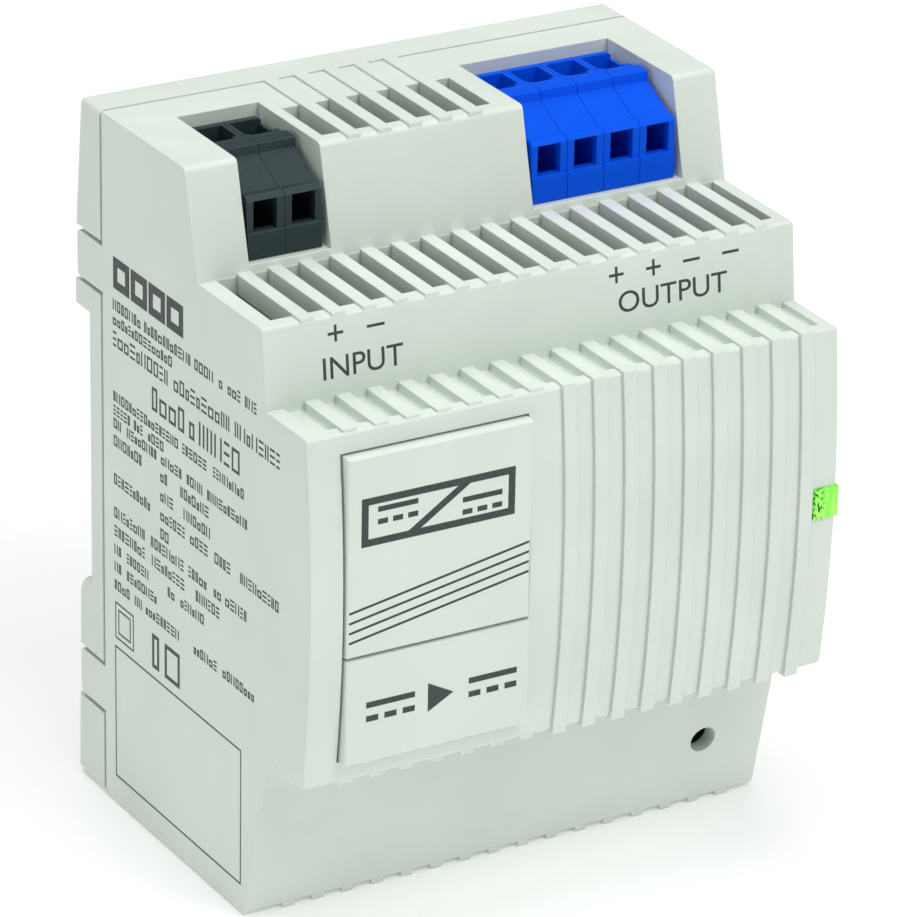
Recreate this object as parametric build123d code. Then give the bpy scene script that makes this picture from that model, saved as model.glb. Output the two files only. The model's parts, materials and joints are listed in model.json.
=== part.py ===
from build123d import *
import os

# DIN rail power supply, four modules wide, standing upright.
# Working frame: X across the width, rear plane at Y = 0, front towards -Y, Z up.
# Every saved part is shifted so that the origin is the bottom centre of the whole device.

# ---- overall size -------------------------------------------------------------------
WIDTH = 72.0                # four 18 mm modules
HEIGHT = 89.0               # between the plain top and bottom faces
DEPTH = 58.6                # rear plane to the front of the nose ribs
WALL = 2.2                  # front shell wall
SIDE_WALL = 1.8             # side wall of shell and base
DRAFT = 0.0094              # narrowing of each side per mm of depth
SEAM = 7.4                  # depth of the joint between base and front shell
SEAM_GAP = 0.4
SIDE_EDGE = 0.8             # rounding of the edges around both sides

# ---- stepped front profile, as depth and height -----------------------------------------
SHOULDER_TOP = (-28.1, HEIGHT)
SHOULDER_FOOT = (-31.4, 76.0)
LEDGE_FRONT = (-46.5, 76.0)
LEDGE_FOOT = (-47.6, 66.4)
NOSE_TOP = (-56.8, 66.4)
NOSE_BULGE = (-58.15, 44.5)
NOSE_BOTTOM = (-56.6, 22.5)
CHIN = (-48.0, 22.5)
FRONT_FOOT = (-43.1, 0.0)

# ---- raised ribs and the slots between them -------------------------------------------
RIB_COUNT = 16
RIB_PITCH = 4.04
RIB_WIDTH = 1.75
RIB_HEIGHT = 0.3            # on the top face and on both ledges
LOW_RIB_HEIGHT = 0.45       # down the nose, under the chin and along the bottom
RIB_ROOT = 0.5
FIRST_RIB = -30.7           # left edge of the first rib
TOP_RIBS = range(4, 9)      # ribs on the top face, between the terminal openings
NOSE_RIBS = range(7, 16)    # ribs down the front of the nose, beside the marker plates
SLOT_LEFT_END = -33.4
SLOT_RIGHT_END = 33.6
LEDGE_SLOT = (-44.5, -31.45)
TOP_SLOT = (-26.05, -16.3)
POCKET = (-55.1, -47.6)
POCKET_DEPTH = 0.85

# ---- terminals ------------------------------------------------------------------------
POLE_PITCH = 5.0
SILL = 77.0                 # height of the sill that the terminal blocks stand on
INPUT = (-23.8, 2)          # centre of the block and its number of poles
OUTPUT = (19.0, 4)
BLOCK_GAPS = (0.35, 0.7)    # gaps between a block and the left and right side of its opening
OPENING_REAR = -13.2
PLATEAU = 87.93             # top of the strips between the clamp holes
HOLE_DEPTHS = (-19.9, -15.3)
HOLE_WIDTH = 4.0
POLE_GROOVE = 0.12          # width and depth of the line between two poles
ENTRY = (3.1, 3.75)         # conductor entry, width and height
ENTRY_BOTTOM = 80.4
CAVITY_WIDTH = 3.8

# ---- rail seat and latch ----------------------------------------------------------------
RAIL_TOP = 62.5             # upper edge of the 35 mm rail seat
RAIL_BOTTOM = 27.2
RAIL_DEPTH = 4.3            # depth of the seat from the rear plane
RAIL_FLANGE = 1.0
LATCH_HALF = 9.0
LATCH_CLEAR = 0.3
TAB_HEIGHTS = ((11.1, 17.0), (66.3, 72.1))
TAB_GAP = 0.6
TAB_END = 1.2               # depth at which the shell's rear tabs end

# ---- front details ------------------------------------------------------------------------
PLATE_FACE = -DEPTH         # the marker plates are flat, on a curved seat
PLATE_SEAT = 0.65           # depth of the seat below the nose surface
SEAT_ACROSS = (-31.3, -6.8)
SEAT_HEIGHTS = (25.35, 64.05)
UPPER_PLATE = ((-31.0, -7.0), (39.1, 63.8))
LOWER_PLATE = ((-31.0, -6.85), (25.4, 38.7))
LENS_ACROSS = (32.05, 35.45)
LENS_HEIGHTS = (42.85, 46.65)
LENS_FACE = -58.5
TRIMMER = (26.5, 9.1)       # across and height of the adjuster's axis
TRIMMER_HOLE = 3.5

# ---- boards ------------------------------------------------------------------------------
BOARD_FRONT = -12.2
BOARD_THICK = 1.6
BOARD_HALF = 32.5
BOARD_HEIGHTS = (3.0, 84.5)
SIDE_BOARD_X = 30.7
SCREW_SPOTS = ((-29.0, 7.0), (26.5, 22.0), (-29.0, 73.5), (3.0, 80.0))

STANDING = Pos(0, DEPTH / 2, LOW_RIB_HEIGHT)


def save(name, *shapes):
    solids = [solid for shape in shapes for solid in shape.solids()]
    whole = solids[0] if len(solids) == 1 else Compound(children=solids)
    export_step(STANDING * whole, f"parts/{name}.step")


def block(x, y, z):
    """Box given by its two limits along each axis."""
    size = (x[1] - x[0], y[1] - y[0], z[1] - z[0])
    centre = ((x[0] + x[1]) / 2, (y[0] + y[1]) / 2, (z[0] + z[1]) / 2)
    return Pos(*centre) * Box(*size)


def rod(radius, start, end):
    """Cylinder between two points."""
    axis = Vector(*end) - Vector(*start)
    return extrude(Plane(origin=start, z_dir=axis) * Circle(radius), axis.length)


def prism(face, half_width, centre=0.0):
    """A face in the YZ plane, extruded to both sides of a centre."""
    return Pos(centre, 0, 0) * extrude(Plane.YZ * face, half_width, both=True)


def polygon(*points):
    return make_face(Polyline(*points, close=True))


def tapered(solid, half_width):
    """Trim a solid to sides that narrow towards the front."""
    front = half_width - DRAFT * 70
    rear = half_width + DRAFT * 10
    plan = make_face(Polyline((-rear, 10), (rear, 10), (front, -70), (-front, -70), close=True))
    return solid & extrude(Pos(0, 0, -20) * plan, HEIGHT + 40)


def rib_left(index):
    return FIRST_RIB + RIB_PITCH * index


def bay(index):
    """Left and right limit of the bay in front of a rib, in X."""
    left = SLOT_LEFT_END if index == 0 else rib_left(index - 1) + RIB_WIDTH
    right = SLOT_RIGHT_END if index == RIB_COUNT else rib_left(index)
    return left, right


# ---- front housing ------------------------------------------------------------------------
def front_outline(rear):
    """Stepped side profile of the front shell, closed at the given rear depth."""
    top = Polyline((rear, HEIGHT), SHOULDER_TOP, SHOULDER_FOOT, LEDGE_FRONT, LEDGE_FOOT, NOSE_TOP)
    nose = ThreePointArc(NOSE_TOP, NOSE_BULGE, NOSE_BOTTOM)
    bottom = Polyline(NOSE_BOTTOM, CHIN, FRONT_FOOT, (rear, 0), (rear, HEIGHT))
    return make_face([*top.edges(), *nose.edges(), *bottom.edges()])


def corners(face, *places):
    """Vertices of a face nearest to the given places."""
    return [min(face.vertices(), key=lambda v: abs(v.X - y) + abs(v.Y - z)) for y, z in places]


def rounded_body():
    face = front_outline(-SEAM - SEAM_GAP / 2)
    face = fillet(corners(face, SHOULDER_TOP, FRONT_FOOT), 0.8)
    face = fillet(corners(face, LEDGE_FRONT, NOSE_TOP, NOSE_BOTTOM), 0.45)
    body = tapered(prism(face, WIDTH / 2 + 1), WIDTH / 2)
    for side in (body.faces().sort_by(Axis.X)[0], body.faces().sort_by(Axis.X)[-1]):
        rim = [edge for edge in side.edges() if edge.center().Y < -SEAM - 1]
        body = fillet(rim, SIDE_EDGE)
    return body


def nose_skin(inner, outer):
    """Layer over the curved nose front, from one depth inside it to one outside it."""
    arc = ThreePointArc(NOSE_TOP, NOSE_BULGE, NOSE_BOTTOM)
    layer = Circle(arc.radius + outer) - Circle(arc.radius + inner)
    layer = Pos(arc.arc_center.X, arc.arc_center.Y) * layer
    low = NOSE_BOTTOM[1] - LOW_RIB_HEIGHT
    high = NOSE_TOP[1] + RIB_HEIGHT
    return layer & polygon((-75, low), (-40, low), (-40, high), (-75, high))


def strip(x, y, surface, rise):
    """Length of rib on a level face; a negative rise stands below the face."""
    root = -RIB_ROOT if rise > 0 else RIB_ROOT
    return block(x, y, sorted((surface + root, surface + rise)))


def rib(index):
    """One raised rib over every face that it crosses."""
    x = (rib_left(index), rib_left(index) + RIB_WIDTH)
    seam = -SEAM - SEAM_GAP / 2
    foot = strip((x[0] + 0.1, x[1] - 0.1), (FRONT_FOOT[0] + 0.1, seam), 0, -LOW_RIB_HEIGHT)
    strips = [
        strip(x, (LEDGE_FRONT[0], SHOULDER_FOOT[0] + RIB_ROOT), LEDGE_FRONT[1], RIB_HEIGHT),
        strip(x, (NOSE_TOP[0] + 0.2, LEDGE_FOOT[0] + RIB_ROOT), NOSE_TOP[1], RIB_HEIGHT),
        strip(x, (NOSE_BOTTOM[0] + 0.2, CHIN[0] + RIB_ROOT), CHIN[1], -LOW_RIB_HEIGHT),
        fillet(foot.edges().filter_by(Axis.Y).group_by(Axis.Z)[0], 0.25),
    ]
    if index in TOP_RIBS:
        strips.append(strip(x, (SHOULDER_TOP[0], seam), HEIGHT, RIB_HEIGHT))
    if index in NOSE_RIBS:
        strips.append(prism(nose_skin(-RIB_ROOT, LOW_RIB_HEIGHT), RIB_WIDTH / 2, sum(x) / 2))
    return strips


def slots():
    """Vent slots in the shoulder and the ledge, and blind pockets above the nose."""
    cuts = []
    for index in range(RIB_COUNT + 1):
        cuts.append(block(bay(index), LEDGE_SLOT, (LEDGE_FRONT[1] - WALL - 2, LEDGE_FRONT[1] + 1)))
        pocket = block(bay(index), POCKET, (NOSE_TOP[1] - POCKET_DEPTH, NOSE_TOP[1] + 1))
        cuts.append(fillet(pocket.faces().sort_by(Axis.Z)[0].edges(), 0.4))
    for index in range(TOP_RIBS.start, TOP_RIBS.stop + 1):
        cuts.append(block(bay(index), TOP_SLOT, (HEIGHT - WALL - 2, HEIGHT + 1)))
    return cuts


def block_span(centre, poles):
    half = (poles * POLE_PITCH - 0.3) / 2
    return centre - half, centre + half


def opening(centre, poles):
    """Terminal opening through shoulder and top, and the walls that line it."""
    left, right = block_span(centre, poles)
    left -= BLOCK_GAPS[0]
    right += BLOCK_GAPS[1]
    lined = (left - 1.1, right + 1.1)
    liner = block(lined, (-40, -16.0), (SILL - 1.2, HEIGHT - 1))
    liner += block(lined, (-16.5, OPENING_REAR + 1.2), (85.4, HEIGHT - 1))
    cut = block((left, right), (-40, OPENING_REAR), (SILL, HEIGHT + 5))
    return liner & prism(front_outline(-5), WIDTH / 2), cut


def front_housing():
    inner_half = WIDTH / 2 - SIDE_WALL
    room = offset(front_outline(5), -WALL, kind=Kind.INTERSECTION)
    shell = rounded_body() - tapered(prism(room, WIDTH / 2), inner_half)
    cuts = slots()
    for terminals in (INPUT, OUTPUT):
        liner, cut = opening(*terminals)
        shell += liner
        cuts.append(cut)
    for low, high in TAB_HEIGHTS:
        for side in (-1, 1):
            x = sorted((side * (inner_half + 0.2), side * WIDTH / 2))
            tab = block(x, (-SEAM - 2, -TAB_END), (low, high))
            tab = fillet(tab.edges().filter_by(Axis.X).group_by(Axis.Y)[-1], 0.5)
            shell += tapered(tab, WIDTH / 2)
    seat_half = (SEAT_ACROSS[1] - SEAT_ACROSS[0]) / 2
    plate_seat = prism(nose_skin(-PLATE_SEAT, 5.0), seat_half, sum(SEAT_ACROSS) / 2)
    cuts.append(plate_seat & block((-40, 40), (-70, -40), SEAT_HEIGHTS))
    lens_low, lens_high = LENS_HEIGHTS
    cuts.append(block((LENS_ACROSS[0] - 0.05, 40), (-65, -54.4), (lens_low - 0.05, lens_high + 0.05)))
    across, height = TRIMMER
    cuts.append(rod(TRIMMER_HOLE / 2, (across, -50, height), (across, -38, height)))
    for index in range(RIB_COUNT):
        shell += rib(index)
    return shell - cuts


# ---- rear base and rail latch ---------------------------------------------------------------
def rear_outline(front):
    """Side profile of the base, with the seat for a 35 mm rail."""
    points = [
        (front, HEIGHT), (-2.0, HEIGHT), (-0.45, 73.3), (-0.7, 65.3), (-0.7, RAIL_TOP),
        (-RAIL_DEPTH, RAIL_TOP), (-RAIL_DEPTH, RAIL_BOTTOM), (-0.7, RAIL_BOTTOM),
        (-0.5, 18.4), (0, 1.0), (0, 0), (front, 0),
    ]
    return polygon(*points)


def rear_base():
    half = WIDTH / 2
    face = rear_outline(-SEAM + SEAM_GAP / 2)
    face = fillet(corners(face, (-2.0, HEIGHT), (0, 0)), 0.8)
    face = fillet(corners(face, (-0.7, RAIL_BOTTOM)), 3.0)
    base = prism(face, half)
    rim = [edge for edge in base.edges().filter_by(Axis.Y) if abs(abs(edge.center().X) - half) < 0.01]
    base = fillet([edge for edge in rim if edge.center().Z < 1 or edge.center().Z > HEIGHT - 1], SIDE_EDGE)
    room = offset(rear_outline(-20), -2.0, kind=Kind.INTERSECTION)
    base -= prism(room, half - SIDE_WALL)
    tongue = block((-half + 2, half - 2), (-SEAM - 1.8, -SEAM + 2), (2.4, HEIGHT - 2.4))
    tongue -= block((-half + 3, half - 3), (-SEAM - 3, -SEAM + 3), (3.4, HEIGHT - 3.4))
    base += tongue
    for low, high in TAB_HEIGHTS:
        for side in (-1, 1):
            lining = sorted((side * (half - 3.2), side * (half - 1.95)))
            base += block(lining, (-SEAM - 1, -1.2), (low - 2, high + 2))
            notch = sorted((side * (half - 1.75), side * (half + 1)))
            base -= block(notch, (-SEAM - 3, 1), (low - TAB_GAP, high + TAB_GAP))
    for hook in ((-28, -14), (14, 28)):
        base += block(hook, (-RAIL_DEPTH + RAIL_FLANGE + 0.2, -0.7), (RAIL_TOP - 2.2, RAIL_TOP + 0.5))
    guide = LATCH_HALF + LATCH_CLEAR
    channel = block((-guide - 1.8, guide + 1.8), (-RAIL_DEPTH - 2.0, -0.5), (0.6, RAIL_BOTTOM))
    channel -= block((-guide, guide), (-RAIL_DEPTH, 2), (-1, HEIGHT / 2))
    base -= block((-guide, guide), (-RAIL_DEPTH, 2), (-1, RAIL_BOTTOM))
    lips = block((-guide, guide), (-1.5, -0.6), (2.5, RAIL_BOTTOM - 3.5))
    lips -= block((-7.6, 7.6), (-3, 1), (-1, HEIGHT / 2))
    post = block((-1.6, 1.6), (-RAIL_DEPTH - 0.5, -2.4), (9.4, 11.0))
    base += channel + lips + post
    for across, height in SCREW_SPOTS:
        boss = rod(3.0, (across, BOARD_FRONT + BOARD_THICK, height), (across, -2.2, height))
        base += boss & prism(rear_outline(-20), half)
        base -= rod(1.1, (across, -20, height), (across, -4.5, height))
    for index in range(-5, 6):
        if abs(index) > 1:
            base -= block((4.8 * index - 1.1, 4.8 * index + 1.1), (-3.5, 1), (75.5, 85.0))
    return base


def rail_latch():
    """Sliding foot: hooks behind the lower flange of the rail and pulls down to let go."""
    plate = block((-LATCH_HALF, LATCH_HALF), (-RAIL_DEPTH + 0.35, -1.8), (1.2, RAIL_BOTTOM - 0.5))
    pad = block((-7.3, 7.3), (-2.0, -0.7), (1.2, RAIL_BOTTOM - 0.5))
    neck = block((-7.3, 7.3), (-RAIL_DEPTH + RAIL_FLANGE + 0.2, -0.7), (RAIL_BOTTOM - 1, RAIL_BOTTOM + 1.9))
    nose_edge = neck.edges().filter_by(Axis.X).group_by(Axis.Z)[-1].sort_by(Axis.Y)[-1]
    latch = plate + pad + chamfer(nose_edge, 1.2)
    latch -= block((-2.1, 2.1), (-10, 1), (9.0, 20.0))
    latch -= block((-3.2, 3.2), (-10, 1), (2.8, 4.9))
    for row in range(3):
        latch -= block((-5.5, 5.5), (-1.1, 1), (6.0 + 0.9 * row, 6.4 + 0.9 * row))
    return latch


def coil(radius, wire, height, turns):
    path = Helix(pitch=height / turns, height=height, radius=radius)
    return sweep(Plane(origin=path @ 0, z_dir=path % 0) * Circle(wire / 2), path=path)


def latch_spring():
    return Pos(0, -2.55, 15.3) * coil(1.1, 0.4, 4.4, 5)


# ---- terminal blocks ----------------------------------------------------------------------
def pole_centres(centre, poles):
    return [centre + (index - (poles - 1) / 2) * POLE_PITCH for index in range(poles)]


def block_outline():
    return polygon(
        (-12.35, SILL + 0.1), (-12.35, 85.2), (-14.5, 85.2), (-14.5, PLATEAU), (-20.0, PLATEAU),
        (-21.8, 88.5), (-23.6, 88.35), (-23.75, 87.15), (-28.4, 84.75), (-29.5, 84.75),
        (-30.0, 84.25), (-30.0, 80.3), (-30.25, 80.3), (-30.25, SILL + 0.1),
    )


def clamp_hole(pole):
    """Shaft above a clamp, with one rounded and one stepped corner at the front."""
    half = HOLE_WIDTH / 2
    hole = block((pole - half, pole + half), HOLE_DEPTHS, (85.5, 90))
    front_left = hole.edges().filter_by(Axis.Z).group_by(Axis.Y)[0].sort_by(Axis.X)[0]
    hole = fillet(front_left, 1.2)
    step = block((pole + half - 0.6, pole + half), (HOLE_DEPTHS[0], HOLE_DEPTHS[0] + 0.6), (85.5, 90))
    return hole - step


def terminal_block(centre, poles):
    left, right = block_span(centre, poles)
    cavity = polygon(
        (-14.4, 77.9), (-28.9, 77.9), (-28.9, 83.3), (-24.2, 86.0), (-23.2, 87.0), (-20.9, 87.0),
        (-15.3, 86.3), (-15.3, 84.4), (-14.4, 84.4),
    )
    line = block_outline() - offset(block_outline(), -POLE_GROOVE, kind=Kind.INTERSECTION)
    spots = pole_centres(centre, poles)
    body = prism(block_outline(), (right - left) / 2, centre)
    saddle = (HOLE_DEPTHS[0] + 0.6, HOLE_DEPTHS[1])
    body -= block((left - 1, spots[0]), saddle, (87.2, 90))
    body -= block((spots[-1], right + 1), saddle, (87.2, 90))
    for pole in spots:
        body -= prism(cavity, CAVITY_WIDTH / 2, pole)
        body -= clamp_hole(pole)
        entry = (pole - ENTRY[0] / 2, pole + ENTRY[0] / 2)
        body -= block(entry, (-31, -28), (ENTRY_BOTTOM, ENTRY_BOTTOM + ENTRY[1]))
        body -= block((pole - 1.15, pole + 1.15), (-15, -11), (82.85, 83.55))
    for pole in spots[:-1]:
        body -= prism(line, POLE_GROOVE / 2, pole + POLE_PITCH / 2)
    rear_wall = body.edges().filter_by(Axis.Y).filter_by_position(Axis.Y, -15.3, -14.5)
    top = rear_wall.filter_by_position(Axis.Z, PLATEAU - 0.01, PLATEAU + 0.01).sort_by(Axis.X)
    return fillet([top[0], top[-1]], 0.6)


def cage_clamp(pole):
    """Spring clamp of one pole: a window plate that pulls the wire up, and its hairpin leaf."""
    half = 1.6
    plate = block((pole - half, pole + half), (-24.5, -24.1), (80.9, 85.7))
    plate -= block((pole - 1.2, pole + 1.2), (-25, -23), (82.5, 85.3))
    leaf = block((pole - half, pole + half), (-24.5, -18.0), (80.9, 81.3))
    bend = Plane.YZ * (Circle(0.85) - Circle(0.45))
    bend = Pos(pole, -18.0, 80.45) * extrude(bend, half, both=True)
    bend -= block((pole - 4, pole + 4), (-22, -18.0), (78, 84))
    return_leaf = block((pole - half, pole + half), (-23.0, -18.0), (79.6, 80.0))
    return plate + leaf + bend + return_leaf


def current_bar(pole):
    """Contact strip through the clamp, with a pin that is soldered into the board."""
    bar = block((pole - 1.0, pole + 1.0), (-27.0, -12.5), (82.9, 83.5))
    return bar + block((pole - 0.5, pole + 0.5), (-12.5, -9.4), (82.9, 83.5))


# ---- marker plates, lens and adjuster -------------------------------------------------------
def marker_plate(across, heights):
    """Flat snap-in plate on the curved nose, with rounded front edges."""
    plate = prism(nose_skin(-PLATE_SEAT, 5.0), (across[1] - across[0]) / 2, sum(across) / 2)
    plate &= block((-40, 40), (PLATE_FACE, -40), heights)
    return fillet(plate.faces().sort_by(Axis.Y)[0].edges(), 0.3)


def status_lens():
    low, high = LENS_HEIGHTS
    face = block(LENS_ACROSS, (LENS_FACE, -54.45), (low, high))
    face = fillet(face.edges().filter_by(Axis.Z).group_by(Axis.Y)[0], 0.25)
    return face + block((LENS_ACROSS[0] + 0.1, 33.4), (-54.6, -53.75), (low + 0.8, high - 0.8))


def trimmer_parts():
    across, height = TRIMMER
    body = block((across - 4.0, SIDE_BOARD_X), (-39.5, -35.0), (height - 3.6, height + 3.6))
    seat = rod(1.6, (across, -40, height), (across, -38.0, height))
    rotor = rod(1.55, (across, -40.4, height), (across, -38.05, height))
    rotor -= block((across - 0.25, across + 0.25), (-41, -39.9), (height - 2, height + 2))
    return body - seat, rotor


# ---- boards and what they carry ---------------------------------------------------------------
def main_board():
    low, high = BOARD_HEIGHTS
    board = block((-BOARD_HALF, BOARD_HALF), (BOARD_FRONT, BOARD_FRONT + BOARD_THICK), (low, high))
    board = fillet(board.edges().filter_by(Axis.Y), 1.0)
    for across, height in SCREW_SPOTS:
        board -= rod(1.6, (across, -20, height), (across, -5, height))
    for pole in pole_centres(*INPUT) + pole_centres(*OUTPUT):
        board -= rod(0.7, (pole, -20, 83.2), (pole, -5, 83.2))
    return board


def side_board():
    """Upright board that carries the status LED and the voltage adjuster."""
    face = polygon(
        (BOARD_FRONT, 4), (-40.0, 4), (-44.0, 22), (-44.0, 26), (-53.6, 26), (-53.6, 60), (BOARD_FRONT, 60),
    )
    return Pos(SIDE_BOARD_X, 0, 0) * extrude(Plane.YZ * face, 1.2)


def standing(shape, across, height):
    """Put a shape that is modelled upright on the front of the main board."""
    return Pos(across, BOARD_FRONT, height) * Rot(90, 0, 0) * shape


def upright_can(radius, length):
    return fillet(extrude(Circle(radius), length).edges(), 0.5)


def transformer():
    core = Box(30, 14, 32) - Box(22, 20, 24) + Box(8.5, 13.9, 26)
    core = Pos(0, 0, 20) * core
    bobbin = Pos(0, 0, 20) * (Box(21.6, 22, 23.6) - Box(19.4, 24, 20.8))
    bobbin += Pos(0, 0, 20) * (Box(11.0, 16.5, 23.6) - Box(8.9, 14.3, 30))
    bobbin += [Pos(side * 8, row * 9, 4.1) * Box(3, 4, 8.2) for side in (-1, 1) for row in (-1, 1)]
    bobbin -= Pos(0, 0, 20) * Box(8.9, 14.3, 30)
    winding = fillet(Box(19.0, 21.5, 20.4).edges().filter_by(Axis.Z), 1.2)
    winding = Pos(0, 0, 20) * (winding - Box(11.2, 16.7, 24))
    return core, bobbin, winding


def ring(outer, inner, height):
    return fillet((extrude(Circle(outer), height) - extrude(Circle(inner), height)).edges(), 0.6)


def choke(outer, inner, height, bands, arc):
    """Toroid with wire wound over it in separate turns."""
    core = ring(outer, inner, height)
    turns = []
    for start in bands:
        for step in range(arc):
            angle = start + step * 15
            turn = Box(outer - inner + 2.4, 1.2, height + 2.4) - Box(outer - inner + 0.2, 2, height + 0.2)
            turn = Pos((outer + inner) / 2, 0, height / 2) * turn
            turns.append(Rot(0, 0, angle) * turn)
    return core, turns


def heatsink(width, height, fins):
    """Plate with fins on one side, standing on the board."""
    plate = Pos(0, 0, height / 2) * Box(width, 2.0, height)
    for index in range(fins):
        across = (index - (fins - 1) / 2) * (width - 1.4) / (fins - 1)
        plate += Pos(across, -2.4, height / 2) * Box(1.4, 3.0, height)
    return plate


def power_package():
    """Flat transistor package with a metal tab and three legs."""
    body = Pos(0, 0, 9.0) * Box(10.0, 4.0, 9.0)
    body += Pos(0, -1.35, 16.0) * (Box(10.0, 1.3, 6.0) - Rot(90, 0, 0) * Cylinder(1.8, 4))
    for index in (-1, 0, 1):
        body += Pos(index * 2.54, 0.6, 2.5) * Box(0.9, 0.6, 5.0)
    return body


def disc(radius, thick):
    body = Rot(90, 0, 0) * Cylinder(radius, thick)
    body = fillet(body.edges(), thick * 0.35)
    part = Pos(0, 0, radius + 2.2) * body
    for side in (-1, 1):
        part += Pos(side * radius * 0.5, 0, 1.6) * Box(0.7, 0.7, 3.2)
    return part


def fuse():
    part = Pos(0, 0, 4.6) * Box(8.4, 4.4, 7.6)
    for side in (-1, 1):
        part += Pos(side * 2.5, 0, 0.9) * Box(0.7, 0.7, 1.8)
    return fillet(part.edges().filter_by(Axis.Z).sort_by(Edge.length)[-4:], 0.8)


def chip(width, depth, height, legs):
    part = Pos(0, 0, height / 2 + 0.6) * Box(width, depth, height)
    for index in range(legs):
        across = (index - (legs - 1) / 2) * (width - 1.6) / max(legs - 1, 1)
        for side in (-1, 1):
            part += Pos(across, side * (depth / 2 + 0.5), 0.6) * Box(0.6, 1.2, 1.2)
    return part


def small_parts():
    parts = []
    for row in range(4):
        for column in range(6):
            spot = Pos(-14 + 3.4 * column, 0, 5 + 3.2 * row)
            size = (1.6, 0.8, 0.8) if (row + column) % 2 else (1.0, 0.7, 1.2)
            parts.append(spot * (Pos(0, BOARD_FRONT - size[1] / 2, 0) * Box(*size)))
    return parts


def board_screw(across, height):
    under = BOARD_FRONT
    head = rod(2.4, (across, under - 1.6, height), (across, under, height))
    head -= block((across - 1.7, across + 1.7), (under - 2, under - 0.9), (height - 0.3, height + 0.3))
    head -= block((across - 0.3, across + 0.3), (under - 2, under - 0.9), (height - 1.7, height + 1.7))
    return head + rod(1.1, (across, under, height), (across, under + 6.2, height))


def save_all():
    os.makedirs("parts", exist_ok=True)
    save("front_housing", front_housing())
    save("rear_base", rear_base())
    save("rail_latch", rail_latch())
    save("latch_spring", latch_spring())
    for side, terminals in (("input", INPUT), ("output", OUTPUT)):
        save(f"{side}_terminal_block", terminal_block(*terminals))
        spots = pole_centres(*terminals)
        save(f"{side}_current_bars", *[current_bar(pole) for pole in spots])
        for number, pole in enumerate(spots, start=1):
            save(f"{side}_clamp_{number}", cage_clamp(pole))
    save("upper_marker_plate", marker_plate(*UPPER_PLATE))
    save("lower_marker_plate", marker_plate(*LOWER_PLATE))
    save("status_lens", status_lens())
    body, rotor = trimmer_parts()
    save("trimmer_body", body)
    save("trimmer_rotor", rotor)
    save("main_board", main_board())
    save("side_board", side_board())
    save("status_led", block((SIDE_BOARD_X + 1.2, 33.3), (-53.6, -51.4), (43.6, 46.2)))
    save("board_screws", *[board_screw(across, height) for across, height in SCREW_SPOTS])
    core, bobbin, winding = transformer()
    save("transformer_core", standing(core, -1.0, 42.0))
    save("transformer_bobbin", standing(bobbin, -1.0, 42.0))
    save("transformer_winding", standing(winding, -1.0, 42.0))
    core, turns = choke(7.5, 3.6, 6.0, (-52, 128), 8)
    lay = Pos(-8.6, BOARD_FRONT - 9.3, 64.5)
    save("input_choke_core", lay * core)
    save("input_choke_winding", *[lay * turn for turn in turns])
    save("bulk_capacitor", standing(upright_can(8.0, 36.0), -24.5, 44.0))
    save("film_capacitor", standing(fillet((Pos(0, 0, 7.5) * Box(13, 8, 15)).edges(), 0.5), -25.0, 65.5))
    save("output_capacitors", *[standing(upright_can(4.8, 20.0), across, 66.5) for across in (12.0, 22.4)])
    save("output_choke", standing(ring(6.5, 2.4, 9.0), 12.0, 16.0))
    save("switch_transistor", standing(power_package(), -23.0, 25.2))
    save("primary_heatsink", standing(heatsink(19.0, 28.0, 5), -23.0, 21.0))
    save("output_rectifier", standing(power_package(), 22.0, 51.0))
    save("output_heatsink", standing(heatsink(14.0, 34.0, 4), 22.0, 46.8))
    save("varistor", standing(disc(5.0, 3.6), -3.0, 79.0))
    save("inrush_limiter", standing(disc(4.0, 4.2), -13.0, 79.0))
    save("input_fuse", standing(fuse(), -28.5, 55.5))
    save("interference_capacitor", standing(disc(3.6, 3.0), 6.0, 24.0))
    save("optocoupler", standing(chip(5.0, 6.2, 3.2, 2), -2.0, 22.5))
    save("controller_chip", standing(chip(6.0, 4.2, 1.5, 4), -24.0, 12.0))
    save("small_board_parts", *small_parts())


save_all()
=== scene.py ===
import json
import math
import random

import bmesh
import bpy
from mathutils import Matrix, Vector


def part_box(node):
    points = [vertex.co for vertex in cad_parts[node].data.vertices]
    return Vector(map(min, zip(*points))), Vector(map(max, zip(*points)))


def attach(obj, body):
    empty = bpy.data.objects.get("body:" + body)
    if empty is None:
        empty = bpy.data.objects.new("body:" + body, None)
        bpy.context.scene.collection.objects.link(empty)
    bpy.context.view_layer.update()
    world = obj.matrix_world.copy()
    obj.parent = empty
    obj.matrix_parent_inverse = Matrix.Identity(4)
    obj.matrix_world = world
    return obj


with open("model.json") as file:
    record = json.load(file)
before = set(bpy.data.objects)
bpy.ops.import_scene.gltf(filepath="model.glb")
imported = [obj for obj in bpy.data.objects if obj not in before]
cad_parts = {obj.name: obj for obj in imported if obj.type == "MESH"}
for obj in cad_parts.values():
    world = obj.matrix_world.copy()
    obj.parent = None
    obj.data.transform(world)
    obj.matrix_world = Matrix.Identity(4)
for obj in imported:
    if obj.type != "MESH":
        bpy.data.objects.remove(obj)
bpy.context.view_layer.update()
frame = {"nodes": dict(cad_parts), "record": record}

# A DIN rail power supply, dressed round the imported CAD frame. Metres, in the frame of the CAD.
# Places on the faces are given in millimetres, as the housing itself is dimensioned: X across, Y
# from the rear plane (negative towards the front) and Z above the plain bottom face.
MM = 0.001
NODES = frame["nodes"]
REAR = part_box("rear_base")[1].y
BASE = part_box("rear_base")[0].z
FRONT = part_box("upper_marker_plate")[0].y
HALF_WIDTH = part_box("rear_base")[1].x
SIDE_DRAFT = 0.0094             # narrowing of each side per unit of depth

EDGE = 0.21 * MM                # rounding of moulded edges, which also sets the width of the painted edge highlight
CREVICE = 0.45 * MM             # reach of the painted shade in inner corners
INK = 0.008 * MM                # thickness of printed marks
INK_ROOT = 0.03 * MM            # how far a printed mark reaches into the face

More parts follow.
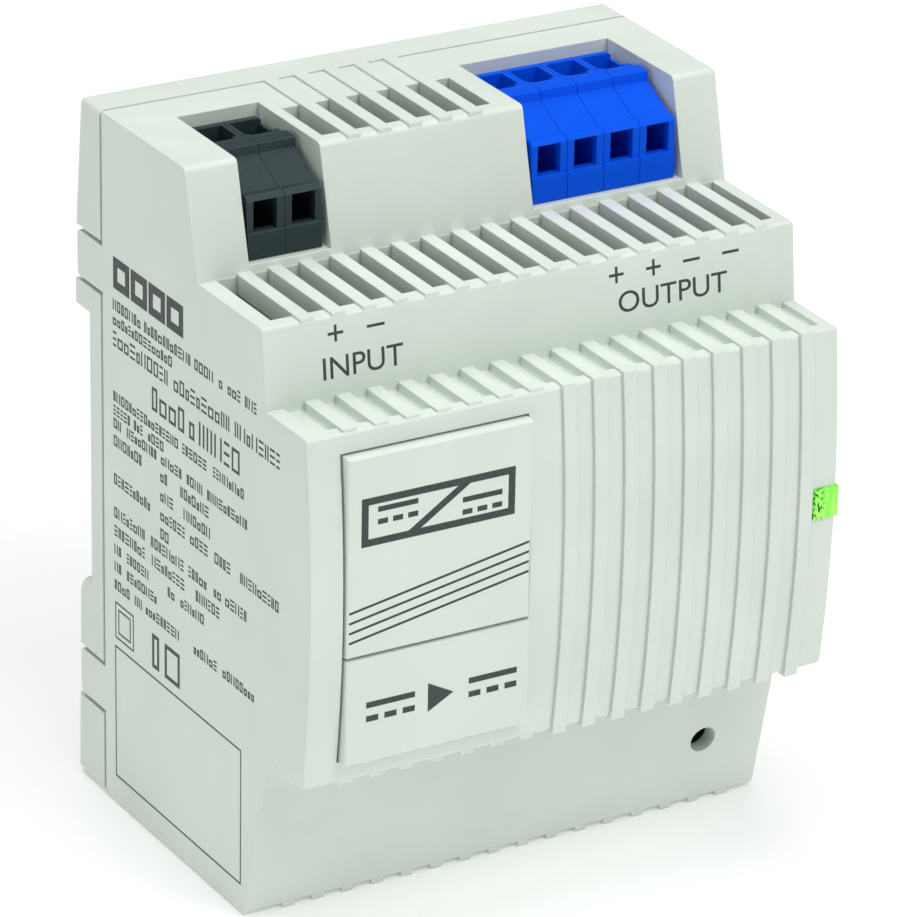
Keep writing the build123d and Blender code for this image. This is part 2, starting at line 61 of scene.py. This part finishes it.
# Prints, in millimetres
LINE_STROKE = 0.3
LINE_COUNT = 4                  # decoration lines on the upper plate
LINE_DROP = 1.245               # from one line down to the next
LINE_ENDS = (44.76, 48.76)      # height of the topmost line at its left and right end
LINE_INSET = 0.25               # from the edges of the plate
FRAME_STROKE = 0.9              # frame of the converter sign
OUTLINE_STROKE = 0.25           # plain boxes on the side
MARK_STROKE = 0.55              # the two small outlines that stand for a conformity mark
HEADING_START, HEADING_PITCH, HEADING_WIDTH, HEADING_STROKE = 10.35, 4.45, 4.1, 1.1
HEADING_HEIGHTS = (67.9, 71.9)
LETTER_GAP = 0.17               # between neutral glyphs, as a share of their height


def place(x, y, z):
    """A point given in the housing's own millimetres."""
    return Vector((x * MM, REAR + y * MM, BASE + z * MM))


# ---- camera, lights and floor ---------------------------------------------------------------
def aim_camera():
    """Camera at the photographed angle: to the left of the front and above."""
    azimuth, elevation, roll = (math.radians(a) for a in (-30.55, 24.28, 1.18))
    back = Vector((
        math.sin(azimuth) * math.cos(elevation), -math.cos(azimuth) * math.cos(elevation),
        math.sin(elevation)))
    level = (-back).cross(Vector((0, 0, 1))).normalized()
    upright = level.cross(-back)
    right = math.cos(roll) * level + math.sin(roll) * upright
    up = math.cos(roll) * upright - math.sin(roll) * level
    turn = Matrix((right, up, back)).transposed()
    data = bpy.data.cameras.new("camera")
    data.lens = 220.6
    data.sensor_width = 36.0
    data.clip_start = 0.01
    camera = bpy.data.objects.new("camera", data)
    camera.matrix_world = Matrix.Translation(place(-310.1, -555.4, 321.4)) @ turn.to_4x4()
    bpy.context.scene.collection.objects.link(camera)
    bpy.context.scene.camera = camera


def lamp(name, position, size, power, colour=(1, 1, 1)):
    data = bpy.data.lights.new(name, "AREA")
    data.shape = "RECTANGLE"
    data.size, data.size_y = size
    data.energy = power
    data.color = colour
    light = bpy.data.objects.new(name, data)
    light.location = position
    aim = Vector((0, 0, 0.045)) - Vector(position)
    light.rotation_euler = aim.to_track_quat("-Z", "Y").to_euler()
    bpy.context.scene.collection.objects.link(light)


def light_studio():
    lamp("key", (0.35, -0.75, 0.75), (0.5, 0.5), 2.9, (1.0, 1.0, 0.99))
    lamp("front", (0.05, -0.6, 1.0), (0.5, 0.5), 3.2, (1.0, 1.0, 0.99))
    lamp("top", (-0.1, 0.15, 1.1), (0.9, 0.9), 7.6, (1.0, 1.0, 0.99))
    lamp("left", (-1.0, -0.1, 0.3), (0.6, 0.6), 1.3, (0.93, 1.0, 0.97))
    world = bpy.data.worlds.new("studio")
    world.use_nodes = True
    background = world.node_tree.nodes["Background"]
    background.inputs["Color"].default_value = (0.97, 1.0, 0.99, 1)
    background.inputs["Strength"].default_value = 0.2
    bpy.context.scene.world = world
    bpy.context.scene.view_settings.view_transform = "Standard"


def lay_floor():
    mesh = bpy.data.meshes.new("floor")
    mesh.from_pydata([(-3, -3, 0), (3, -3, 0), (3, 3, 0), (-3, 3, 0)], [], [(0, 1, 2, 3)])
    floor = bpy.data.objects.new("floor", mesh)
    material, shader, _ = new_material("floor_white")
    shader.inputs["Base Color"].default_value = (0.88, 0.88, 0.88, 1)
    shader.inputs["Roughness"].default_value = 0.9
    shader.inputs["Specular IOR Level"].default_value = 0.0
    shader.inputs["Emission Color"].default_value = (1, 1, 1, 1)
    shader.inputs["Emission Strength"].default_value = 0.2
    mesh.materials.append(material)
    bpy.context.scene.collection.objects.link(floor)


# ---- building blocks of the materials ---------------------------------------------------------
def new_material(name):
    material = bpy.data.materials.new(name)
    material.use_nodes = True
    shader = material.node_tree.nodes["Principled BSDF"]
    return material, shader, material.node_tree


def noise(tree, size, detail=3.0, stretch=(1, 1, 1)):
    """Value noise with features of about the given size in metres."""
    place_node = tree.nodes.new("ShaderNodeTexCoord")
    mapping = tree.nodes.new("ShaderNodeMapping")
    mapping.inputs["Scale"].default_value = [s / size for s in stretch]
    tree.links.new(place_node.outputs["Object"], mapping.inputs["Vector"])
    node = tree.nodes.new("ShaderNodeTexNoise")
    node.inputs["Scale"].default_value = 1.0
    node.inputs["Detail"].default_value = detail
    tree.links.new(mapping.outputs["Vector"], node.inputs["Vector"])
    return node.outputs["Fac"]


def spread(tree, value, low, high, low_at=0.3, high_at=0.7):
    """Map a noise value to a range of numbers."""
    node = tree.nodes.new("ShaderNodeMapRange")
    for socket, number in zip(("From Min", "From Max", "To Min", "To Max"), (low_at, high_at, low, high)):
        node.inputs[socket].default_value = number
    tree.links.new(value, node.inputs["Value"])
    return node.outputs["Result"]


def blend(tree, amount, first, second):
    """Colour between two colours or sockets."""
    node = tree.nodes.new("ShaderNodeMix")
    node.data_type = "RGBA"
    tree.links.new(amount, node.inputs["Factor"])
    for socket, colour in ((node.inputs[6], first), (node.inputs[7], second)):
        if isinstance(colour, bpy.types.NodeSocket):
            tree.links.new(colour, socket)
        else:
            socket.default_value = (*colour, 1)
    return node.outputs[2]


def bump(tree, height, strength, distance, below=None):
    node = tree.nodes.new("ShaderNodeBump")
    node.inputs["Strength"].default_value = strength
    node.inputs["Distance"].default_value = distance
    tree.links.new(height, node.inputs["Height"])
    if below is not None:
        tree.links.new(below, node.inputs["Normal"])
    return node.outputs["Normal"]


def rounded_normal(tree, radius):
    """Surface normal that turns smoothly over the edges, as on a moulded part."""
    node = tree.nodes.new("ShaderNodeBevel")
    node.samples = 4
    node.inputs["Radius"].default_value = radius
    return node.outputs["Normal"]


def openness(tree, distance):
    """1 on open faces, falling to 0 in inner corners and narrow gaps."""
    node = tree.nodes.new("ShaderNodeAmbientOcclusion")
    node.samples = 4
    node.inputs["Distance"].default_value = distance
    return spread(tree, node.outputs["AO"], 0, 1, 0.45, 0.8)


def edge_mask(tree, rounded, openness_value):
    """1 along outer edges, 0 on flat faces and in inner corners."""
    geometry = tree.nodes.new("ShaderNodeNewGeometry")
    turn = tree.nodes.new("ShaderNodeVectorMath")
    turn.operation = "DOT_PRODUCT"
    tree.links.new(rounded, turn.inputs[0])
    tree.links.new(geometry.outputs["Normal"], turn.inputs[1])
    return multiply(tree, spread(tree, turn.outputs["Value"], 0, 1, 0.996, 0.92), openness_value)


def multiply(tree, first, second):
    node = tree.nodes.new("ShaderNodeMath")
    node.operation = "MULTIPLY"
    tree.links.new(first, node.inputs[0])
    tree.links.new(second, node.inputs[1])
    return node.outputs["Value"]


def shade(colour, factor):
    return tuple(min(1.0, channel * factor) for channel in colour)


def moulded(name, colour, roughness, grain, grain_depth, mottle=0.03, painted_edge_factor=1.32,
            specks=None, gloss=0.4, painted_crevice_factor=0.78):
    """Injection-moulded plastic: spark-eroded grain and slow mottling, with a painted highlight along
    outer edges and painted shade in inner corners (painted light there instead where the crevice factor
    is above 1).
    """
    material, shader, tree = new_material(name)
    patches = spread(tree, noise(tree, 14 * MM, 4.0), 0, 1)
    base = blend(tree, patches, shade(colour, 1 - mottle), shade(colour, 1 + mottle))
    fine = noise(tree, grain, 2.0)
    if specks:
        base = blend(tree, spread(tree, fine, 0, specks[1], 0.56, 0.72), base, specks[0])
    rounded = rounded_normal(tree, EDGE)
    open_face = openness(tree, CREVICE)
    # Painted shade in inner corners and narrow gaps: the colour scaled by the crevice factor, which is
    # painted light where the factor is above 1.
    base = blend(tree, open_face, shade(colour, painted_crevice_factor), base)
    # Painted highlight along outer edges: the colour scaled by the edge factor.
    highlighted_base = blend(tree, edge_mask(tree, rounded, open_face), base, shade(colour, painted_edge_factor))
    tree.links.new(highlighted_base, shader.inputs["Base Color"])
    dullness = spread(tree, noise(tree, 6 * MM), roughness - 0.05, roughness + 0.06)
    tree.links.new(dullness, shader.inputs["Roughness"])
    coarse = bump(tree, noise(tree, grain * 5, 3.0), 0.25, grain_depth * 2, rounded)
    tree.links.new(bump(tree, fine, 0.6, grain_depth, coarse), shader.inputs["Normal"])
    shader.inputs["Specular IOR Level"].default_value = gloss
    return material


def metal(name, colour, roughness, stretch=(1, 1, 30), grain=0.12 * MM):
    """Drawn or rolled metal with fine lines along one axis and dull patches."""
    material, shader, tree = new_material(name)
    lines = noise(tree, grain * 30, 3.0, tuple(30 / s for s in stretch))
    patches = spread(tree, noise(tree, 3 * MM, 4.0), 0, 1)
    tone = blend(tree, patches, shade(colour, 0.88), shade(colour, 1.05))
    tree.links.new(tone, shader.inputs["Base Color"])
    tree.links.new(spread(tree, lines, roughness - 0.08, roughness + 0.1), shader.inputs["Roughness"])
    drawn = bump(tree, lines, 0.35, 0.01 * MM, rounded_normal(tree, EDGE / 2))
    tree.links.new(drawn, shader.inputs["Normal"])
    shader.inputs["Metallic"].default_value = 1.0
    return material


def wound(name, colour, pitch, roughness):
    """Wire or tape laid in even turns, drawn as ridges along Z and Y, with painted shade between the
    turns and a painted highlight on the ridges.
    """
    material, shader, tree = new_material(name)
    coordinate = tree.nodes.new("ShaderNodeTexCoord")
    wave = tree.nodes.new("ShaderNodeTexWave")
    wave.bands_direction = "DIAGONAL"
    wave.inputs["Scale"].default_value = 0.314 / pitch
    wave.inputs["Distortion"].default_value = 0.4
    tree.links.new(coordinate.outputs["Object"], wave.inputs["Vector"])
    # Painted shade in the grooves between turns and a painted highlight on their ridges, following the
    # wave.
    tone = blend(tree, wave.outputs["Fac"], shade(colour, 0.6), shade(colour, 1.1))
    tree.links.new(tone, shader.inputs["Base Color"])
    tree.links.new(bump(tree, wave.outputs["Fac"], 0.7, pitch * 0.4), shader.inputs["Normal"])
    dullness = spread(tree, noise(tree, 1.5 * MM), roughness - 0.05, roughness + 0.1)
    tree.links.new(dullness, shader.inputs["Roughness"])
    return material


def laminate(name, colour):
    """Circuit board: solder resist over a glass weave, with a faint pattern of copper below it."""
    material, shader, tree = new_material(name)
    cells = tree.nodes.new("ShaderNodeTexBrick")
    coordinate = tree.nodes.new("ShaderNodeTexCoord")
    mapping = tree.nodes.new("ShaderNodeMapping")
    mapping.inputs["Rotation"].default_value = (math.radians(90), 0, 0)
    cells.inputs["Scale"].default_value = 160.0
    cells.inputs["Mortar Size"].default_value = 0.06
    tree.links.new(coordinate.outputs["Object"], mapping.inputs["Vector"])
    tree.links.new(mapping.outputs["Vector"], cells.inputs["Vector"])
    copper = blend(tree, cells.outputs["Fac"], shade(colour, 1.25), shade(colour, 0.8))
    patches = spread(tree, noise(tree, 8 * MM, 4.0), 0, 1)
    tree.links.new(blend(tree, patches, copper, shade(colour, 1.0)), shader.inputs["Base Color"])
    tree.links.new(bump(tree, noise(tree, 0.25 * MM), 0.2, 0.01 * MM), shader.inputs["Normal"])
    tree.links.new(spread(tree, noise(tree, 4 * MM), 0.3, 0.45), shader.inputs["Roughness"])
    return material


def lens_plastic():
    """Bright green light guide: moulded bands inside, with dark specks in its left third."""
    material, shader, tree = new_material("green_lens")
    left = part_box("status_lens")[0].x
    across = tree.nodes.new("ShaderNodeSeparateXYZ")
    coordinate = tree.nodes.new("ShaderNodeTexCoord")
    tree.links.new(coordinate.outputs["Object"], across.inputs["Vector"])
    near_left = spread(tree, across.outputs["X"], 1, 0, left + 0.9 * MM, left + 1.7 * MM)
    bands = noise(tree, 0.9 * MM, 2.0, (1.6, 1, 0.25))
    green = blend(tree, spread(tree, bands, 0, 1, 0.4, 0.62), (0.16, 0.82, 0.05), (0.38, 0.97, 0.14))
    specks = spread(tree, noise(tree, 0.42 * MM, 2.0, (1.6, 1, 0.9)), 0, 1, 0.5, 0.56)
    dark = multiply(tree, specks, near_left)
    tree.links.new(blend(tree, dark, green, (0.01, 0.10, 0.002)), shader.inputs["Base Color"])
    tree.links.new(blend(tree, dark, (0.3, 0.9, 0.12), (0, 0.05, 0)), shader.inputs["Emission Color"])
    tree.links.new(spread(tree, bands, 0.2, 0.34), shader.inputs["Roughness"])
    rounded = rounded_normal(tree, EDGE)
    tree.links.new(bump(tree, bands, 0.3, 0.08 * MM, rounded), shader.inputs["Normal"])
    shader.inputs["Emission Strength"].default_value = 0.3
    shader.inputs["Specular IOR Level"].default_value = 0.3
    return material


def ink(name, colour):
    """Pad-printed ink with pinholes and a soft sheen."""
    material, shader, tree = new_material(name)
    holes = spread(tree, noise(tree, 0.12 * MM, 2.0), 0, 0.35, 0.58, 0.72)
    tree.links.new(blend(tree, holes, colour, (0.35, 0.42, 0.38)), shader.inputs["Base Color"])
    tree.links.new(spread(tree, noise(tree, 1.2 * MM), 0.45, 0.6), shader.inputs["Roughness"])
    tree.links.new(bump(tree, noise(tree, 0.1 * MM), 0.3, 0.005 * MM), shader.inputs["Normal"])
    return material


# ---- materials by the record's slots -----------------------------------------------------------
PALE = (0.705, 0.775, 0.71)
GRAIN = 0.16 * MM


def make_slot_materials():
    black = (0.02, 0.02, 0.022)
    return {
        "housing": moulded("housing_plastic", PALE, 0.46, GRAIN, 0.006 * MM),
        "base": moulded("base_plastic", shade(PALE, 0.985), 0.47, GRAIN, 0.006 * MM),
        "latch": moulded("latch_plastic", shade(PALE, 0.96), 0.44, GRAIN, 0.006 * MM),
        "marker": moulded(
            "marker_plastic", shade(PALE, 1.01), 0.38, GRAIN * 0.7, 0.003 * MM, mottle=0.02),
        # Strong painted edge highlights on both terminals, light painted shade in the grey one's crevices
        # and painted light in the blue one's crevices.
        "grey_terminal": moulded(
            "grey_terminal_plastic", (0.019, 0.036, 0.040), 0.45, GRAIN, 0.025 * MM, 0.06, 2.8,
            specks=((0.075, 0.10, 0.11), 0.6), gloss=0.3, painted_crevice_factor=0.9),
        "blue_terminal": moulded(
            "blue_terminal_plastic", (0.0002, 0.09, 0.80), 0.5, GRAIN, 0.01 * MM, 0.04, 1.4,
            specks=((0.01, 0.18, 0.95), 0.3), gloss=0.08, painted_crevice_factor=1.5),
        "spring_steel": metal("spring_steel", (0.62, 0.62, 0.61), 0.3),
        "contact_metal": metal("tinned_copper", (0.78, 0.75, 0.68), 0.35, (1, 30, 1)),
        "lens": lens_plastic(),
        "led": moulded("clear_epoxy", (0.75, 0.85, 0.65), 0.15, 0.3 * MM, 0.002 * MM),
        "trimmer": moulded("trimmer_grey", (0.10, 0.11, 0.10), 0.35, GRAIN, 0.004 * MM),
        "trimmer_rotor": moulded("rotor_white", (0.78, 0.78, 0.72), 0.4, GRAIN, 0.004 * MM),
        "board": laminate("circuit_board", (0.02, 0.13, 0.045)),
        "screws": metal("zinc_plate", (0.66, 0.66, 0.62), 0.32, (1, 1, 1)),
        "ferrite": moulded(
            "ferrite", (0.035, 0.035, 0.038), 0.55, 0.25 * MM, 0.02 * MM, 0.1, 1.5),
        "bobbin": moulded("bobbin_plastic", black, 0.4, GRAIN, 0.006 * MM, 0.08, 1.8),
        "winding": wound("winding_tape", (0.62, 0.40, 0.04), 1.0 * MM, 0.35),
        "copper": wound("enamelled_wire", (0.45, 0.16, 0.05), 0.6 * MM, 0.25),
        "capacitor_sleeve": moulded(
            "capacitor_sleeve", (0.015, 0.016, 0.02), 0.25, 0.5 * MM, 0.004 * MM, 0.1, 1.6),
        "film": moulded("film_capacitor_box", (0.6, 0.42, 0.05), 0.35, GRAIN, 0.005 * MM),
        "package": moulded("epoxy_package", black, 0.5, GRAIN, 0.01 * MM, 0.08, 1.8),
        "heatsink": metal("extruded_aluminium", (0.72, 0.73, 0.74), 0.4),
        "ceramic_blue": moulded("blue_coating", (0.03, 0.1, 0.32), 0.3, 0.4 * MM, 0.01 * MM),
        "ceramic_dark": moulded("dark_coating", (0.03, 0.05, 0.03), 0.35, 0.4 * MM, 0.01 * MM),
    }


# ---- the CAD nodes ------------------------------------------------------------------------------
def dress_nodes():
    materials = make_slot_materials()
    for row in frame["record"]["subparts"]:
        node = NODES[row["node"]]
        node.data.materials.clear()
        node.data.materials.append(materials[row["material_slot"]])
        for face in node.data.polygons:
            face.material_index = 0


# ---- printing -----------------------------------------------------------------------------------
class Face:
    """A flat face to print on: across and up are unit vectors, seen from outside."""

    def __init__(self, origin, across, up):
        self.origin = origin
        self.across = across.normalized()
        self.up = up.normalized()
        self.out = self.across.cross(self.up)

    def point(self, u, v, lift):
        return self.origin + self.across * u * MM + self.up * v * MM + self.out * lift


def bar(left, low, right, high):
    return [(left, low), (right, low), (right, high), (left, high)]


def line(start, end, width):
    """Stroke between two points."""
    along = (Vector(end) - Vector(start)).normalized()
    side = Vector((-along.y, along.x)) * width / 2
    a, b = Vector(start), Vector(end)
    return [tuple(a - side), tuple(b - side), tuple(b + side), tuple(a + side)]


def outline(left, low, right, high, width):
    """Four strokes round a rectangle."""
    return [
        bar(left, low, right, low + width),
        bar(left, high - width, right, high),
        bar(left, low + width, left + width, high - width),
        bar(right - width, low + width, right, high - width),
    ]


def print_marks(name, face, shapes, material):
    """Thin solid marks on a face, one prism for each convex shape."""
    mesh = bmesh.new()
    for shape in shapes:
        top = [mesh.verts.new(face.point(u, v, INK)) for u, v in shape]
        root = [mesh.verts.new(face.point(u, v, -INK_ROOT)) for u, v in shape]
        mesh.faces.new(top)
        mesh.faces.new(root[::-1])
        for i in range(len(shape)):
            j = (i + 1) % len(shape)
            mesh.faces.new((root[i], root[j], top[j], top[i]))
    data = bpy.data.meshes.new(name)
    mesh.to_mesh(data)
    mesh.free()
    return print_mesh(name, data, material)


def print_mesh(name, data, material):
    data.materials.clear()
    data.materials.append(material)
    piece = bpy.data.objects.new(name, data)
    bpy.context.scene.collection.objects.link(piece)
    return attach(piece, "device")


def print_word(name, face, word, box, material):
    """A word set in the built-in typeface, fitted into a box on the face."""
    curve = bpy.data.curves.new(name, "FONT")
    curve.body = word
    curve.extrude = 1.0
    curve.offset = 0.002
    curve.resolution_u = 6
    setting = bpy.data.objects.new(name + "_setting", curve)
    data = bpy.data.meshes.new_from_object(setting)
    bpy.data.objects.remove(setting)
    points = [vertex.co.copy() for vertex in data.vertices]
    low = [min(p[axis] for p in points) for axis in range(3)]
    high = [max(p[axis] for p in points) for axis in range(3)]
    left, bottom, right, top = box
    for vertex, p in zip(data.vertices, points):
        u = left + (right - left) * (p.x - low[0]) / (high[0] - low[0])
        v = bottom + (top - bottom) * (p.y - low[1]) / (high[1] - low[1])
        vertex.co = face.point(u, v, INK if p.z > 0 else -INK_ROOT)
    mesh = bmesh.new()
    mesh.from_mesh(data)
    bmesh.ops.remove_doubles(mesh, verts=mesh.verts, dist=0.001 * MM)
    mesh.to_mesh(data)
    mesh.free()
    data.name = name
    return print_mesh(name, data, material)


def sign(kind, u, v, length, width=0.35):
    shapes = [bar(u - length / 2, v - width / 2, u + length / 2, v + width / 2)]
    if kind == "plus":
        shapes.append(bar(u - width / 2, v + width / 2, u + width / 2, v + length / 2))
        shapes.append(bar(u - width / 2, v - length / 2, u + width / 2, v - width / 2))
    return shapes


def mid_face():
    """Sloping face between the ledge and the nose, measured by X and by the height above the base."""
    foot, head = place(0, -47.6, 66.4), place(0, -46.5, 76.0)
    up = (head - foot).normalized()
    return Face(foot - up * 66.4 * MM / up.z, Vector((1, 0, 0)), up)


def on_slope(face, z):
    """Distance along the sloping face that reaches a given height."""
    return z / face.up.z


def print_terminal_names(material):
    face = mid_face()
    heights = [on_slope(face, z) for z in (68.6, 71.2, 69.2, 71.75)]
    print_word("print_input", face, "INPUT", (-28.1, heights[0], -17.7, heights[1]), material)
    print_word("print_output", face, "OUTPUT", (11.0, heights[2], 25.9, heights[3]), material)
    level = on_slope(face, 73.9)
    marks = sign("plus", -26.3, level, 2.0) + sign("minus", -21.1, level, 2.3)
    for x in (10.8, 15.85):
        marks += sign("plus", x, level, 2.0)
    for x in (21.06, 26.45):
        marks += sign("minus", x, level, 2.3)
    print_marks("print_polarity", face, marks, material)


def direct_current(left, low, width, height):
    """The general sign for direct current: a solid bar over three dashes."""
    thick = height * 0.3
    dash = width / 4
    shapes = [bar(left, low + height - thick, left + width, low + height)]
    for index in range(3):
        start = left + index * dash * 1.5
        shapes.append(bar(start, low, start + dash, low + thick))
    return shapes


def print_plates(material):
    """Neutral signs and the four thin lines on the marker plates."""
    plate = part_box("upper_marker_plate")
    face = Face(place(0, (FRONT - REAR) / MM, 0), Vector((1, 0, 0)), Vector((0, 0, 1)))
    left, right = plate[0].x / MM, plate[1].x / MM
    lines = []
    for index in range(LINE_COUNT):
        start, end = (height - LINE_DROP * index for height in LINE_ENDS)
        lines.append(line((left + LINE_INSET, start), (right - LINE_INSET, end), LINE_STROKE))
    print_marks("print_lines", face, lines, material)
    converter = outline(-29.3, 52.7, -9.3, 58.7, FRAME_STROKE)
    converter.append([(-23.2, 53.6), (-21.6, 53.6), (-15.2, 57.8), (-16.8, 57.8)])
    converter += direct_current(-27.2, 55.2, 5.2, 2.2)
    converter += direct_current(-16.2, 54.0, 5.2, 2.2)
    print_marks("print_converter_sign", face, converter, material)
    flow = direct_current(-28.4, 30.6, 6.4, 2.5) + direct_current(-14.9, 30.6, 6.4, 2.5)
    flow.append([(-20.3, 30.0), (-16.9, 31.85), (-20.3, 33.7)])
    print_marks("print_flow_sign", face, flow, material)


def side_face():
    """Drafted left side of the housing, measured by the distance from the rear plane and by height."""
    return Face(place(-HALF_WIDTH / MM, 0, 0), Vector((SIDE_DRAFT, -1, 0)), Vector((0, 0, 1)))


def greeked(left, right, low, high, dice, stroke):
    """A run of neutral glyph shapes in place of lettering."""
    shapes = []
    height = high - low
    start = left
    while start < right - 0.4 * height:
        width = height * dice.choice((0.45, 0.6, 0.7))
        end = min(start + width, right)
        kind = dice.randrange(4)
        if kind == 0:
            shapes += outline(start, low, end, high, stroke)
        elif kind == 1:
            shapes += [bar(start, low, start + stroke, high), bar(end - stroke, low, end, high)]
        elif kind == 2:
            middle = (low + high) / 2
            for level in (low, middle - stroke / 2, high - stroke):
                shapes.append(bar(start, level, end, level + stroke))
        else:
            shapes += outline(start, low, end, low + height * 0.72, stroke)
        start = end + height * LETTER_GAP
    return shapes


# Rows of the side label: bottom, cap height, stroke, and each word's start and end from the rear.
SIDE_TEXT = (
    (65.1, 1.4, 0.27, (
        (10.2, 17.2), (18.1, 29.6), (30.5, 35.4), (36.4, 37.6), (38.5, 41.5), (42.6, 45.4))),
    (63.2, 1.3, 0.27, ((10.2, 25.1),)),
    (60.5, 1.9, 0.3, ((10.2, 24.4), (25.4, 39.5), (40.2, 50.8))),
    (56.0, 3.0, 0.4, ((20.0, 28.0), (29.2, 30.5), (31.6, 41.4))),
    (53.4, 1.3, 0.27, ((10.2, 26.5), (27.5, 33.9), (35.0, 42.5))),
    (51.6, 1.3, 0.27, ((10.2, 14.4), (15.4, 18.0), (19.0, 22.9))),
    (49.9, 1.3, 0.27, ((10.2, 12.7), (13.6, 21.2), (22.2, 27.6), (28.6, 32.6), (33.6, 43.2))),
    (47.6, 1.4, 0.27, ((10.2, 17.3), (22.0, 24.0), (27.0, 34.2))),
    (45.1, 1.4, 0.27, ((22.0, 25.2), (27.8, 34.5))),
    (42.6, 1.4, 0.27, ((10.2, 20.1), (22.0, 28.2), (29.4, 34.0), (35.4, 39.2), (41.6, 51.4))),
    (40.2, 1.4, 0.27, ((22.0, 24.8),)),
    (38.2, 1.4, 0.27, ((10.2, 18.6), (19.6, 27.8), (29.0, 34.0), (35.2, 37.0), (38.0, 43.4))),
    (35.8, 1.4, 0.27, ((10.2, 18.0), (19.8, 28.4), (30.8, 36.8))),
    (33.4, 1.3, 0.27, ((10.2, 12.4), (13.4, 19.6), (23.8, 26.0), (27.0, 33.2))),
    (31.1, 1.3, 0.27, ((10.2, 12.4), (13.4, 21.4))),
    (28.7, 1.3, 0.27, ((10.2, 14.4), (15.4, 17.2), (18.2, 27.0), (30.3, 36.0), (37.4, 45.0))),
)


def print_side(material):
    """Neutral rows in place of the type label, and the plain boxes below them."""
    face = side_face()
    dice = random.Random(7)
    rows = []
    for low, height, stroke, words in SIDE_TEXT:
        for start, end in words:
            rows += greeked(start, end, low, low + height, dice, stroke)
    print_marks("print_side_rows", face, rows, material)
    heading = []
    low, high = HEADING_HEIGHTS
    for index in range(4):
        start = HEADING_START + HEADING_PITCH * index
        heading += outline(start, low, start + HEADING_WIDTH, high, HEADING_STROKE)
    print_marks("print_side_heading", face, heading, material)
    boxes = outline(10.2, 3.4, 42.0, 21.2, OUTLINE_STROKE)
    boxes += outline(10.3, 22.2, 15.1, 27.1, OUTLINE_STROKE)
    boxes += outline(11.1, 23.0, 14.3, 26.3, OUTLINE_STROKE)
    boxes += outline(19.8, 22.4, 21.6, 26.9, MARK_STROKE)
    boxes += outline(23.0, 22.4, 26.8, 26.9, MARK_STROKE)
    print_marks("print_side_boxes", face, boxes, material)


# ---- the scene ----------------------------------------------------------------------------------
aim_camera()
light_studio()
lay_floor()
dress_nodes()
print_ink = ink("print_ink", (0.022, 0.040, 0.036))
print_terminal_names(print_ink)
print_plates(print_ink)
print_side(print_ink)
